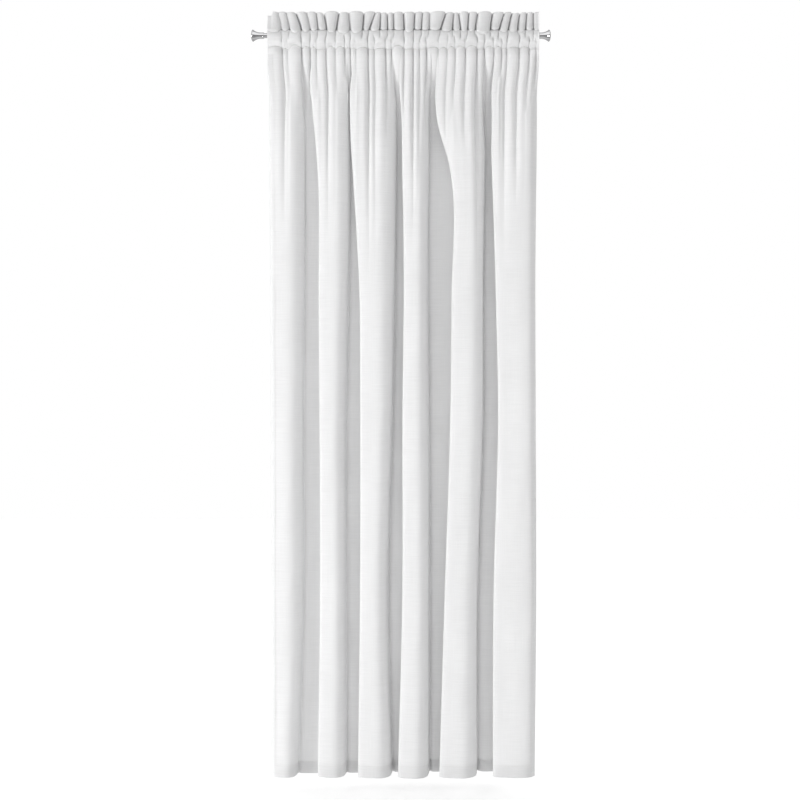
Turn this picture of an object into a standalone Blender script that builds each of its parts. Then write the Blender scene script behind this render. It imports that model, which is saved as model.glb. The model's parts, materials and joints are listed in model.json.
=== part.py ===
"""A gathered curtain panel on a thin round rod with two trumpet finials.

Metres, +Z up. The origin is the middle of the rod, on its axis: X runs along the rod, the front of
the curtain faces -Y, and the cloth hangs down -Z. The panel is one cut of cloth. Its top is turned
over to the back and stitched twice, which leaves a standing frill above a pocket for the rod. Each
ply of cloth, hem, thread and metal piece is a separate object.
"""

from math import ceil, cos, hypot, pi, radians, sin

import bmesh
import bpy
from mathutils import Vector

# Driving dimensions of the rod and its finials
ROD_SPAN = 0.899  # bare rod between the inner ends of the two finials
ROD_RADIUS = 0.008
ROD_WALL = 0.001
SLEEVE_DEPTH = 0.018  # how far a finial slips over the end of the rod
SLEEVE_WALL = 0.0017
FINIAL_LENGTH = 0.036  # from the inner end to the rim
FINIAL_RIM_RADIUS = 0.0194
FINIAL_RIM_EDGE = 0.0008  # thickness of the rim's turned edge
FINIAL_DOME = 0.005  # height of the domed end beyond the rim
FINIAL_END_RADIUS = 0.005  # flat at the middle of the dome
FLARE_CURVE = 2.1  # 1 would be a plain cone; more keeps the neck slim for longer
SCREW_RADIUS = 0.002
SCREW_LENGTH = 0.003
SCREW_FROM_EDGE = 0.008  # screw's axis from the sleeve's inner end

# Driving dimensions of the cloth
PANEL_LENGTH = 2.500  # from the top of the frill to the bottom edge
FRILL_HEIGHT = 0.056
POCKET_HEIGHT = 0.066
ALLOWANCE = 0.018  # turned-over cloth that hangs below the pocket's seam
BOTTOM_HEM = 0.040
SIDE_HEM = 0.025
CLOTH = 0.0008  # thickness of one ply
FOLD_FRONTS = 6
FOLD_DEPTH = 0.090
FOLD_DEPTH_TOP = 0.010
FOLDS_FULL_AT = 0.45  # how far below the pocket the folds reach their full depth
GATHERS = 14
GATHER_DEPTH = 0.006
FRILL_DEPTH = 0.012
DRAW_IN = 0.012  # how much each side of the drop hangs inside the end of the pocket
DRAW_IN_AT = 0.25
ROD_SHOWING = 0.013  # bare rod at the left, beside the end of the pocket
NECK_COVER = 0.002  # how far the pocket's right end reaches over the finial
POCKET_EASE = 0.0035  # room between the pocket and the widest thing in it
SEAM_EASE = 0.011  # from the widest thing in the pocket up to the frill's seam
THREAD_RADIUS = 0.0005
STITCH_INSET = 0.003
LABEL_WIDTH = 0.022
LABEL_LENGTH = 0.045
LABEL_UP = 0.150  # from the bottom edge to the label
LABEL_THICKNESS = 0.0004

GAP = 0.0003  # between pieces that touch

# Places that follow from them
SLEEVE_INNER = ROD_RADIUS + GAP
NECK_RADIUS = SLEEVE_INNER + SLEEVE_WALL
SEAM_Z = NECK_RADIUS + SEAM_EASE
FRILL_TOP = SEAM_Z + FRILL_HEIGHT
POCKET_BOTTOM = SEAM_Z - POCKET_HEIGHT
DROP_TOP = POCKET_BOTTOM - GAP
BOTTOM = FRILL_TOP - PANEL_LENGTH
LEFT = -ROD_SPAN / 2 + ROD_SHOWING
RIGHT = ROD_SPAN / 2 + NECK_COVER
PLY_STEP = CLOTH + GAP  # from the middle of one ply to the middle of the next
THREAD_STEP = CLOTH / 2 + GAP + THREAD_RADIUS

# Fineness of the meshes
ROUND_SIDES = 32
FOLD_SEGMENTS = 12  # per fold
GATHER_SEGMENTS = 6  # per gather
POCKET_ROWS = 6
DROP_ROWS = 9
ROWS_CLOSER_UP = 1.6  # 1 would space the drop's rows evenly
DOME_STEPS = 6
FLARE_STEPS = 9
THREAD_SIDES = 1  # bevel resolution: six sides
EVEN_OUT = 400  # steps used to measure along a fold

FOLD_WAVES = FOLD_FRONTS - 0.5
HEM_COLUMNS = 2  # from the cloth's edge to the stitches, and on to the hem's edge

COLLECTION = "curtain_panel"
CUTTERS = "cutters"


def clear_scene():
    for old in list(bpy.data.objects):
        bpy.data.objects.remove(old, do_unlink=True)
    for name in (COLLECTION, CUTTERS):
        bpy.context.scene.collection.children.link(bpy.data.collections.new(name))


def material(name, color, roughness, metallic=0.0):
    made = bpy.data.materials.new(name)
    made.use_nodes = True
    shader = made.node_tree.nodes["Principled BSDF"]
    shader.inputs["Base Color"].default_value = (*color, 1.0)
    shader.inputs["Roughness"].default_value = roughness
    shader.inputs["Metallic"].default_value = metallic
    return made


def place(name, data, look, collection=COLLECTION):
    made = bpy.data.objects.new(name, data)
    if look:
        data.materials.append(look)
    bpy.data.collections[collection].objects.link(made)
    return made


def smooth(t):
    t = min(1.0, max(0.0, t))
    return t * t * (3 - 2 * t)


# --- the course of the cloth ---------------------------------------------------------------------


def sides(z):
    """Left and right edge of the cloth at a height."""
    inward = DRAW_IN * smooth((DROP_TOP - z) / DRAW_IN_AT)
    return LEFT + inward, RIGHT - inward


def fold_y(u, z):
    """The folded drop: u runs from 0 at the left edge to 1 at the right. It hangs balanced under
    the rod, so the half wave that is left over is taken out of the mean."""
    depth = FOLD_DEPTH_TOP + (FOLD_DEPTH - FOLD_DEPTH_TOP) * smooth((DROP_TOP - z) / FOLDS_FULL_AT)
    mean = (1 - cos(2 * pi * FOLD_WAVES)) / (2 * pi * FOLD_WAVES)
    return depth / 2 * (mean - sin(2 * pi * FOLD_WAVES * u))


def gather_y(u, depth):
    return depth / 2 * sin(2 * pi * GATHERS * u)


def offset_point(course, u, z, offset):
    """A point of a course at u, moved sideways off the cloth; a positive offset is to the back."""
    left, right = sides(z)
    step = 1e-4
    along = Vector(((right - left) * 2 * step, course(u + step, z) - course(u - step, z)))
    across = Vector((-along.y, along.x)).normalized()
    return left + (right - left) * u + across.x * offset, course(u, z) + across.y * offset, z


def hem_share(z):
    """The share of the hung width that a side hem of the real width takes at a height."""
    left, right = sides(z)
    length, u = 0.0, 0.0
    step = 1 / EVEN_OUT
    while length < SIDE_HEM:
        rise = fold_y(u + step, z) - fold_y(u, z)
        length += hypot((right - left) * step, rise)
        u += step
    return u - step * (length - SIDE_HEM) / hypot((right - left) * step, rise)


def stitched_share(edge):
    return edge * (1 - STITCH_INSET / SIDE_HEM)


def drop_columns(z):
    """Places across the drop. A hem's edge and its stitches fall on columns, so that plies and
    threads bend in the same places."""
    edge = hem_share(z)
    middle = ceil(FOLD_SEGMENTS * FOLD_WAVES)
    hem = [0, stitched_share(edge)]
    between = [edge + (1 - 2 * edge) * i / middle for i in range(middle + 1)]
    return hem + between + [1 - part for part in reversed(hem)]


def drop_heights():
    """Heights of the drop's rows: the edges of the allowance and the hem, and closer at the top."""
    top = DROP_TOP - ALLOWANCE
    low = BOTTOM + BOTTOM_HEM
    between = [top + (low - top) * (i / DROP_ROWS) ** ROWS_CLOSER_UP for i in range(DROP_ROWS + 1)]
    return [DROP_TOP] + between + [BOTTOM]


# --- makers --------------------------------------------------------------------------------------


def sheet(name, points, look, thickness=CLOTH):
    """A ply of cloth: a grid laid on rows of points, thickened evenly to both sides."""
    rows, columns = len(points), len(points[0])
    bm = bmesh.new()
    bmesh.ops.create_grid(bm, x_segments=columns - 1, y_segments=rows - 1, size=1)
    ordered = sorted(bm.verts, key=lambda v: (round(v.co.y, 5), round(v.co.x, 5)))
    for index, vert in enumerate(ordered):
        vert.co = points[rows - 1 - index // columns][index % columns]
    data = bpy.data.meshes.new(name)
    bm.to_mesh(data)
    bm.free()
    made = place(name, data, look)
    solidify = made.modifiers.new("thickness", "SOLIDIFY")
    solidify.thickness = thickness
    solidify.offset = 0
    solidify.use_even_offset = True
    return made


def thread(name, points, look):
    data = bpy.data.curves.new(name, "CURVE")
    data.dimensions = "3D"
    data.bevel_depth = THREAD_RADIUS
    data.bevel_resolution = THREAD_SIDES
    data.use_fill_caps = True
    line = data.splines.new("POLY")
    line.points.add(len(points) - 1)
    for point, place_of in zip(line.points, points):
        point.co = (*place_of, 1)
    return place(name, data, look)


def turned(name, profile, look, closed, collection=COLLECTION):
    """A turned piece: a profile of (radius, along) spun about Z."""
    bm = bmesh.new()
    verts = [bm.verts.new((radius, 0, along)) for radius, along in profile]
    for start, end in zip(verts, verts[1:]):
        bm.edges.new((start, end))
    if closed:
        bm.edges.new((verts[-1], verts[0]))
    data = bpy.data.meshes.new(name)
    bm.to_mesh(data)
    bm.free()
    made = place(name, data, look, collection)
    screw = made.modifiers.new("turn", "SCREW")
    screw.steps = ROUND_SIDES
    screw.render_steps = ROUND_SIDES
    screw.use_merge_vertices = True
    screw.merge_threshold = 0.00001
    return made


# --- the rod and its finials ---------------------------------------------------------------------


def add_rod(look):
    half = ROD_SPAN / 2 + SLEEVE_DEPTH - GAP
    inner = ROD_RADIUS - ROD_WALL
    profile = [(ROD_RADIUS, half), (ROD_RADIUS, -half), (inner, -half), (inner, half)]
    rod = turned("rod_tube", profile, look, closed=True)
    rod.rotation_euler = (0, radians(90), 0)


def finial_profile():
    """Outer side from the domed end down to the open sleeve, then up inside the blind bore."""
    rim = FINIAL_LENGTH
    flat = rim + FINIAL_DOME
    points = [(0, flat), (FINIAL_END_RADIUS, flat)]
    for i in range(1, DOME_STEPS):
        turn = pi / 2 * i / DOME_STEPS
        span = FINIAL_RIM_RADIUS - FINIAL_END_RADIUS
        points.append((FINIAL_END_RADIUS + span * sin(turn), rim + FINIAL_DOME * cos(turn)))
    points.append((FINIAL_RIM_RADIUS, rim))
    points.append((FINIAL_RIM_RADIUS, rim - FINIAL_RIM_EDGE))
    neck = SLEEVE_DEPTH / 2
    flare = rim - FINIAL_RIM_EDGE - neck
    for i in range(1, FLARE_STEPS + 1):
        share = 1 - i / FLARE_STEPS
        radius = NECK_RADIUS + (FINIAL_RIM_RADIUS - NECK_RADIUS) * share**FLARE_CURVE
        points.append((radius, neck + flare * share))
    return points + [(NECK_RADIUS, 0), (SLEEVE_INNER, 0), (SLEEVE_INNER, SLEEVE_DEPTH), (0, SLEEVE_DEPTH)]


def add_finial(side, look, screw_look):
    """One finial and the screw that grips it on the rod. side is -1 at the left, 1 at the right."""
    end = {-1: "left", 1: "right"}[side]
    base = bpy.data.objects.new(f"finial_{end}_axis", None)
    bpy.data.collections[COLLECTION].objects.link(base)
    base.location = (side * ROD_SPAN / 2, 0, 0)
    base.rotation_euler = (0, side * radians(90), 0)

    finial = turned(f"finial_{end}", finial_profile(), look, closed=False)
    bore = bar_profile(SCREW_RADIUS + GAP, 2 * SLEEVE_WALL)
    hole = turned(f"screw_hole_{end}", bore, None, False, CUTTERS)
    hole.hide_render = True
    hole.display_type = "WIRE"
    cut = finial.modifiers.new("screw hole", "BOOLEAN")
    cut.operation = "DIFFERENCE"
    cut.object = hole

    screw = turned(f"grub_screw_{end}", bar_profile(SCREW_RADIUS, SCREW_LENGTH / 2), screw_look, False)
    for piece, away in ((hole, NECK_RADIUS), (screw, ROD_RADIUS + GAP + SCREW_LENGTH / 2)):
        piece.location = (0, away, SCREW_FROM_EDGE)
        piece.rotation_euler = (radians(-90), 0, 0)
    for piece in (finial, hole, screw):
        piece.parent = base


def bar_profile(radius, half_length):
    return [(0, half_length), (radius, half_length), (radius, -half_length), (0, -half_length)]


# --- the header: frill and rod pocket ------------------------------------------------------------


def header_columns():
    count = GATHERS * GATHER_SEGMENTS
    return [i / count for i in range(count + 1)]


def add_frill(look):
    """Two plies that stand above the frill's seam and open out in waves."""
    heights = [FRILL_TOP, (FRILL_TOP + SEAM_Z) / 2, SEAM_Z + GAP]

    def course(u, z):
        rise = smooth((z - SEAM_Z) / FRILL_HEIGHT)
        return gather_y(u, GATHER_DEPTH + (FRILL_DEPTH - GATHER_DEPTH) * rise)

    for name, side in (("frill_front", -1), ("frill_back", 1)):
        rows = [
            [offset_point(course, u, z, side * PLY_STEP / 2) for u in header_columns()] for z in heights
        ]
        sheet(name, rows, look)


def pocket_bulge(z):
    """How far a ply of the pocket stands off the middle at a height."""
    full = NECK_RADIUS + POCKET_EASE + GATHER_DEPTH / 2 + CLOTH
    at_rod = sin(pi * (0 - POCKET_BOTTOM) / POCKET_HEIGHT)
    across = max(0.0, sin(pi * (z - POCKET_BOTTOM) / POCKET_HEIGHT))
    return full * across / at_rod


def gathers_at_rod(u, z):
    return gather_y(u, GATHER_DEPTH)


def add_pocket(look):
    """The plies in front of the rod and behind it."""
    heights = [SEAM_Z - POCKET_HEIGHT * i / POCKET_ROWS for i in range(POCKET_ROWS + 1)]
    for name, side in (("pocket_front", -1), ("pocket_back", 1)):
        rows = []
        for z in heights:
            bulge = side * pocket_bulge(z)
            flat = [offset_point(gathers_at_rod, u, z, side * PLY_STEP / 2) for u in header_columns()]
            rows.append([(x, y + bulge, height) for x, y, height in flat])
        sheet(name, rows, look)


# --- the drop and its hems -----------------------------------------------------------------------


def drop_points(heights, first, last, offset):
    """Rows of points on the drop between two of its columns."""
    return [
        [offset_point(fold_y, u, z, offset) for u in drop_columns(z)[first : last + 1]] for z in heights
    ]


def add_drop(look):
    """The drop and the plies turned to its back: allowance, bottom hem and side hems."""
    heights = drop_heights()
    end = len(drop_columns(BOTTOM)) - 1
    sheet("drop_cloth", drop_points(heights, 0, end, 0), look)
    inner_left, inner_right = HEM_COLUMNS, end - HEM_COLUMNS
    hem_heights = heights[1:]
    sheet("side_hem_left", drop_points(hem_heights, 0, inner_left, PLY_STEP), look)
    sheet("side_hem_right", drop_points(hem_heights, inner_right, end, PLY_STEP), look)
    sheet("heading_allowance", between_hems(heights[:2], inner_left, inner_right), look)
    sheet("bottom_hem", between_hems(heights[-2:], inner_left, inner_right), look)


def between_hems(heights, first, last):
    """A ply behind the drop that stops a gap short of each side hem and of the row above."""
    rows = drop_points(heights, first, last, PLY_STEP)
    shortened = []
    for row in rows:
        left = Vector(row[0]).lerp(Vector(row[1]), 2 * GAP / (Vector(row[1]) - Vector(row[0])).length)
        right = Vector(row[-1]).lerp(Vector(row[-2]), 2 * GAP / (Vector(row[-2]) - Vector(row[-1])).length)
        shortened.append([left, *row[1:-1], right])
    return shortened


# --- threads and label ---------------------------------------------------------------------------


def add_threads(look):
    """The lines of stitching, laid on the front of the cloth they hold."""
    seam = [
        offset_point(gathers_at_rod, u, SEAM_Z + STITCH_INSET, -PLY_STEP / 2 - THREAD_STEP)
        for u in header_columns()
    ]
    thread("frill_seam_thread", seam, look)

    low = DROP_TOP - STITCH_INSET
    thread("pocket_seam_thread", stitched_row(low, 0), look)
    hem_line = BOTTOM + BOTTOM_HEM - STITCH_INSET
    thread("bottom_hem_thread", stitched_row(hem_line, HEM_COLUMNS), look)

    for name, mirror in (("side_thread_left", False), ("side_thread_right", True)):
        line = []
        for z in drop_heights()[1:]:
            share = stitched_share(hem_share(z))
            u = 1 - share if mirror else share
            line.append(offset_point(fold_y, u, z, -THREAD_STEP))
        thread(name, line, look)


def stitched_row(z, skip):
    columns = drop_columns(z)
    return [offset_point(fold_y, u, z, -THREAD_STEP) for u in columns[skip : len(columns) - skip]]


def add_label(look):
    """A blank care label behind the left side hem, hanging free of the drop."""
    low = BOTTOM + LABEL_UP
    z_rows = [low + LABEL_LENGTH, low]
    away = 2 * PLY_STEP
    rows = []
    for z in z_rows:
        share = LABEL_WIDTH / SIDE_HEM * hem_share(z)
        rows.append([offset_point(fold_y, share * i / HEM_COLUMNS, z, away) for i in range(HEM_COLUMNS + 1)])
    sheet("care_label", rows, look, LABEL_THICKNESS)


def main():
    clear_scene()
    cloth = material("white cloth", (0.86, 0.86, 0.85), 0.9)
    turned_cloth = material("turned cloth", (0.82, 0.82, 0.81), 0.9)
    stitching = material("white thread", (0.78, 0.78, 0.76), 0.7)
    label = material("satin label", (0.9, 0.9, 0.88), 0.5)
    chrome = material("polished chrome", (0.75, 0.75, 0.77), 0.12, 1.0)
    steel = material("dark steel", (0.3, 0.3, 0.32), 0.35, 1.0)
    add_rod(chrome)
    for side in (-1, 1):
        add_finial(side, chrome, steel)
    add_frill(cloth)
    add_pocket(cloth)
    add_drop(turned_cloth)
    add_threads(stitching)
    add_label(label)


main()
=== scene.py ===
"""Rod-pocket curtain panel: cloth, stitching, rod and finials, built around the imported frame.

Metres, +Z up. X runs along the rod, the front of the curtain faces -Y, and the cloth hangs down -Z.
A place on the cloth is given by its share across the cut width, from 0 at the left edge to 1 at the
right, and by its height.
"""

import json
from collections import namedtuple
from math import cos, pi, radians, sin

import bmesh
import bpy
import numpy as np
from bpy.props import FloatProperty, FloatVectorProperty, IntProperty, PointerProperty
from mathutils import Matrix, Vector


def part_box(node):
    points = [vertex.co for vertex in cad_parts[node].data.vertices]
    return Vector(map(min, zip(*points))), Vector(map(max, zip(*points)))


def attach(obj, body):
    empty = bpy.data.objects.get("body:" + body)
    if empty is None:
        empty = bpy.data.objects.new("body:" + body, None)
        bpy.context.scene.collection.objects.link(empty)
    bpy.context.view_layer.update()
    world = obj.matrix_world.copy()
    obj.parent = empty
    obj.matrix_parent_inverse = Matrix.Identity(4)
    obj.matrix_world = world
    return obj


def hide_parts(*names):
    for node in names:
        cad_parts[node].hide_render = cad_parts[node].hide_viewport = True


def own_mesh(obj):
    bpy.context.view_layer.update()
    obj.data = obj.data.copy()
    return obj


bl_info = {
    "name": "Rod-pocket curtain",
    "version": (1, 0, 0),
    "blender": (4, 5, 0),
    "location": "3D View > Sidebar > Curtain",
    "description": "Builds a gathered curtain panel on its rod around a packed frame",
    "category": "Add Mesh",
}

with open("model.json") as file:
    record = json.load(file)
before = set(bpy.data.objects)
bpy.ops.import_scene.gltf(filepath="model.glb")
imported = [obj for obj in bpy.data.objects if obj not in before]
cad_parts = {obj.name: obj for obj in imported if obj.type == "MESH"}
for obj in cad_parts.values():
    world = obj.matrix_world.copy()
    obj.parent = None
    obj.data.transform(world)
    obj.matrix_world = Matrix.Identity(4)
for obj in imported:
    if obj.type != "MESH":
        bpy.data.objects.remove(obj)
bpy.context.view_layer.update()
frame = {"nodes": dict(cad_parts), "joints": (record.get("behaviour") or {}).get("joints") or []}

FRILL_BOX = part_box("frill_front")
DROP_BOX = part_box("drop_cloth")
ROD_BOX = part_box("rod_tube")
HEM_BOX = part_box("bottom_hem")
ALLOWANCE_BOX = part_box("heading_allowance")
LABEL_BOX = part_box("care_label")

# The header is the frill and the pocket. SEAM is between those two, POCKET_SEAM under the pocket.
LEFT, RIGHT = FRILL_BOX[0].x, FRILL_BOX[1].x
HEADER_WIDTH = RIGHT - LEFT
FRILL_TOP, SEAM = FRILL_BOX[1].z, FRILL_BOX[0].z
POCKET_SEAM = DROP_BOX[1].z
HEM = DROP_BOX[0].z
HEM_DEPTH = HEM_BOX[1].z - HEM_BOX[0].z
HEADER_COLUMNS = 640

NECK_RADIUS = 0.010  # of a finial's sleeve, which the pocket has to clear
ROD_RADIUS = (ROD_BOX[1].z - ROD_BOX[0].z) / 2
DRAW = next(joint for joint in frame["joints"] if joint["name"] == "panel_draw")
DRAWN_SHARE = 1 - DRAW["range_m"][1] / HEADER_WIDTH

Fold = namedtuple("Fold", "left crease front back")
Gather = namedtuple("Gather", "place depth reach lean", defaults=(0, 0))

# Heights below the pocket's seam at which the folds' edges are given
FOLD_HEIGHTS = (0.0, 0.10, 0.22, 0.40, 0.82, 1.15, 1.80, 2.37)

# The six folds of the drop, left to right. left and crease are the places along X, at those
# heights, of a fold's rounded left edge and of the crease at its right. front and back are how far
# the fold stands forward and how far the recess beside it goes back, as shares of the fold depth.
FOLDS = (
    Fold(
        left=(-0.4365, -0.4265, -0.4255, -0.426, -0.426, -0.425, -0.424, -0.423),
        crease=(-0.322, -0.322, -0.320, -0.318, -0.318, -0.321, -0.321, -0.338),
        front=0.42, back=0.20,
    ),
    Fold(
        left=(-0.302, -0.298, -0.280, -0.266, -0.266, -0.264, -0.262, -0.269),
        crease=(-0.174, -0.172, -0.170, -0.168, -0.173, -0.180, -0.180, -0.179),
        front=0.44, back=0.28,
    ),
    Fold(
        left=(-0.166, -0.165, -0.161, -0.152, -0.133, -0.131, -0.132, -0.138),
        crease=(-0.024, -0.021, -0.018, -0.017, -0.020, -0.026, -0.042, -0.028),
        front=0.50, back=0.38,
    ),
    Fold(
        left=(-0.012, -0.004, 0.006, 0.010, 0.011, 0.007, 0.006, -0.008),
        crease=(0.100, 0.094, 0.091, 0.089, 0.089, 0.092, 0.094, 0.094),
        front=0.55, back=0.42,
    ),
    Fold(
        left=(0.105, 0.113, 0.121, 0.166, 0.167, 0.164, 0.144, 0.127),
        crease=(0.274, 0.276, 0.277, 0.275, 0.272, 0.272, 0.253, 0.252),
        front=0.50, back=0.48,
    ),
    Fold(
        left=(0.290, 0.294, 0.299, 0.303, 0.312, 0.319, 0.304, 0.302),
        crease=(0.4515, 0.442, 0.4395, 0.439, 0.439, 0.440, 0.442, 0.437),
        front=0.44, back=0.0,
    ),
)

# The gathers of the drop: place along the header from its left end, depth as a share of the gather
# depth, and how far the crease runs down
DROP_GATHERS = (
    Gather(0.047, 0.7, 0.48), Gather(0.066, 0.4, 0.14),
    Gather(0.110, 1.0, 0.16), Gather(0.138, 1.1, 0.14),
    Gather(0.160, 0.5, 0.12), Gather(0.190, 0.8, 0.45),
    Gather(0.221, 0.5, 0.12), Gather(0.252, 0.9, 0.07),
    Gather(0.270, 1.2, 0.20), Gather(0.290, 0.4, 0.10),
    Gather(0.328, 1.0, 0.62), Gather(0.349, 0.6, 0.68),
    Gather(0.386, 0.9, 0.22), Gather(0.405, 0.8, 0.12),
    Gather(0.446, 0.7, 0.28), Gather(0.476, 1.0, 0.48),
    Gather(0.497, 0.7, 0.34), Gather(0.520, 1.1, 0.20),
    Gather(0.560, 0.4, 0.20), Gather(0.588, 0.5, 0.30),
    Gather(0.614, 0.7, 0.16), Gather(0.647, 0.8, 0.24),
    Gather(0.685, 1.1, 0.62), Gather(0.709, 1.2, 0.22),
    Gather(0.741, 0.8, 0.22), Gather(0.767, 0.9, 0.07),
    Gather(0.783, 0.8, 0.52), Gather(0.823, 0.9, 0.38),
    Gather(0.856, 1.0, 0.15), Gather(0.880, 0.7, 0.10),
)

# The gathers of the frill: place at its seam, depth, and how far the crease leans to the right up to
# the top
FRILL_GATHERS = (
    Gather(0.045, 0.4, lean=-0.012), Gather(0.072, 0.5, lean=-0.012),
    Gather(0.111, 1.2, lean=-0.020), Gather(0.140, 0.5, lean=-0.014),
    Gather(0.164, 0.7, lean=-0.006), Gather(0.193, 0.9, lean=-0.010),
    Gather(0.223, 1.0, lean=0.009), Gather(0.269, 0.6, lean=-0.005),
    Gather(0.310, 1.2, lean=0.004), Gather(0.331, 0.9, lean=0.021),
    Gather(0.366, 1.1, lean=0.004), Gather(0.392, 1.2, lean=-0.001),
    Gather(0.412, 0.8, lean=-0.001), Gather(0.446, 1.1, lean=-0.003),
    Gather(0.478, 0.9, lean=0.003), Gather(0.502, 0.8, lean=0.005),
    Gather(0.528, 0.6, lean=0.002), Gather(0.564, 1.2, lean=0.019),
    Gather(0.604, 0.8, lean=0.005), Gather(0.631, 0.9, lean=-0.006),
    Gather(0.654, 1.0, lean=0.004), Gather(0.678, 0.9, lean=0.009),
    Gather(0.727, 1.0, lean=0.008), Gather(0.756, 1.2, lean=0.019),
    Gather(0.786, 1.2, lean=0.014), Gather(0.817, 1.2, lean=0.008),
    Gather(0.843, 1.2, lean=0.006), Gather(0.869, 0.9, lean=0.001),
)

# How far the creases run down, as a share of their reaches
REACH_SHARE = 1.5

# How much of the gathers' depth is left where they are held in a seam
SEAM_SHARE = 0.66

# The most that the frill's seam sags between two gathers, and that the lower seam rises
SAG = 0.0040
RISE = 0.0160

# Below the pocket's seam: how soon the gathers swell out from it, where they begin to flatten, over
# what length they do, and how soon the cloth has come from its place in them to its place in the folds
SWELL_LENGTH = 0.012
FLATTEN_START, FLATTEN_LENGTH = 0.10, 0.75
LEAD_LENGTH = 0.17

# How far puffs bulge over the creases beside them, as a share of their width
PUFF_BULGE = 0.13

# How far forward the middle of the gathered cloth lies, as a share of a full puff
PUFF_MIDDLE = 0.6

# How blunt the puffs are where a seam holds them: less is blunter
SEAM_BLUNTNESS = 0.8

# More than 1 puts a puff's crest to the right of its middle
PUFF_SKEW = 1.22

# Outline of a fold in plan. The edge's corners are metres from the fold's left edge, the others
# shares of its width, each with a share of how far the fold stands forward.
FIRST_EDGE = ((0.0, 0.35), (0.007, 0.76))
EDGE = ((-0.004, 0.50), (0.003, 0.78))
FRONT = ((0.30, 0.93), (0.56, 1.04), (0.74, 0.94), (0.89, 0.62))
LAST_FRONT = ((0.30, 0.93), (0.60, 1.06), (0.88, 0.95))

# How far a recess runs on behind the next fold's left edge, and its least width
TUCK, RECESS_LEAST = 0.016, 0.014

# Notches in the top of the frill: place from its left end, and depth
NOTCHES = (
    (0.182, 0.008),
    (0.312, 0.003),
    (0.394, 0.003),
    (0.727, 0.003),
    (0.812, 0.006),
    (0.829, 0.004),
)
NOTCH_WIDTH = 0.006

# Left end of the frill, where the corner is cut lower: its length, and by how much
CORNER_LENGTH, CORNER_DROP = 0.012, 0.014

# The share of the light on the cloth that passes through it
SHEERNESS = 0.33


# --- settings ---


def length(name, text, default):
    return FloatProperty(name=name, description=text, default=default, unit="LENGTH", precision=4)


def color(name, text, default):
    return FloatVectorProperty(
        name=name, description=text, default=default, size=4, min=0, max=1, subtype="COLOR"
    )


class ClothSettings(bpy.types.PropertyGroup):
    cut_width: length("Cut width", "Width of the panel before it is gathered", 1.40)
    ply: length("Ply", "Thickness of the cloth", 0.0007)
    layer_gap: length("Layer gap", "Air between two plies that lie together", 0.0004)
    fold_depth: length("Fold depth", "Front to back depth of the large folds", 0.082)
    fold_reach: length("Fold reach", "How far below the pocket the folds are fully formed", 0.32)
    gather_depth: length("Gather depth", "Depth of an average gather at the pocket's seam", 0.0170)
    pocket_puff: length("Pocket puff", "How far the pocket puffs off the rod between gathers", 0.0120)
    side_hem: length("Side hem", "Width of the turned side hems", 0.025)
    columns: IntProperty(name="Columns", description="Mesh columns across the cloth", default=440)
    tint: color("Cloth", "Colour of the cloth", (0.87, 0.87, 0.872, 1))
    thread_pitch: length("Thread pitch", "Distance between threads of the weave", 0.0009)


class StitchSettings(bpy.types.PropertyGroup):
    stitch: length("Stitch", "Length of one stitch", 0.0032)
    gap: length("Gap", "Gap between two stitches", 0.0008)
    radius: length("Thread", "Radius of the sewing thread", 0.0004)
    tint: color("Thread", "Colour of the sewing thread", (0.82, 0.82, 0.80, 1))


class MetalSettings(bpy.types.PropertyGroup):
    tint: color("Chrome", "Colour of the polished plating", (0.80, 0.80, 0.81, 1))
    rounds: IntProperty(name="Sides", description="Sides of the turned pieces", default=96)


class StageSettings(bpy.types.PropertyGroup):
    distance: length("Camera distance", "From the rod's plane to the camera", 4.0)
    view_height: length("View height", "Height of the picture at the rod's plane", 2.624)
    floor_gap: length("Floor gap", "From the hem down to the floor", 0.04)
    key: FloatProperty(name="Key light", description="Power of the key light", default=240, unit="POWER")
    sky: FloatProperty(name="Sky", description="Strength of the even light", default=0.75)


# --- shader maths ---


class Wire:
    """A socket of a node tree, on which sums can be written as Python expressions."""

    def __init__(self, tree, socket):
        self.tree = tree
        self.socket = socket

    def math(self, operation, *values):
        made = add_node(self.tree, "ShaderNodeMath", {"operation": operation}, dict(enumerate(values)))
        return made[0]

    def __add__(self, other):
        return self.math("ADD", self, other)

    def __radd__(self, other):
        return self.math("ADD", other, self)

    def __sub__(self, other):
        return self.math("SUBTRACT", self, other)

    def __rsub__(self, other):
        return self.math("SUBTRACT", other, self)

    def __mul__(self, other):
        return self.math("MULTIPLY", self, other)

    def __rmul__(self, other):
        return self.math("MULTIPLY", other, self)

    def sine(self):
        return self.math("SINE", self)

    def limited(self):
        return add_node(self.tree, "ShaderNodeClamp", {}, {0: self})[0]


class Outputs:
    """The outputs of a node, by name or number, as wires."""

    def __init__(self, tree, made):
        self.tree = tree
        self.made = made

    def __getitem__(self, key):
        return Wire(self.tree, self.made.outputs[key])


def add_node(tree, kind, settings, sockets):
    """Adds a node. Its settings are set first, then each socket is linked to a wire or given a value."""
    made = tree.nodes.new(kind)
    for name, value in settings.items():
        if name == "ramp":
            stops = made.color_ramp.elements
            while len(stops) < len(value):
                stops.new(0.5)
            for stop, (place, shade) in zip(stops, value):
                stop.position, stop.color = place, shade
        else:
            setattr(made, name, value)
    for key, value in sockets.items():
        if isinstance(value, Wire):
            tree.links.new(value.socket, made.inputs[key])
        else:
            made.inputs[key].default_value = value
    return Outputs(tree, made)


def mixed(tree, factor, first, second):
    """A colour between two colours."""
    settings = {"data_type": "RGBA", "blend_type": "MIX"}
    sockets = {"Factor": factor, "A": first, "B": second}
    return add_node(tree, "ShaderNodeMix", settings, sockets)["Result"]


def new_material(name):
    made = bpy.data.materials.new(name)
    made.use_nodes = True
    made.node_tree.nodes.clear()
    return made, made.node_tree


def finish_material(tree, surface):
    add_node(tree, "ShaderNodeOutputMaterial", {}, {"Surface": surface})


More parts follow.
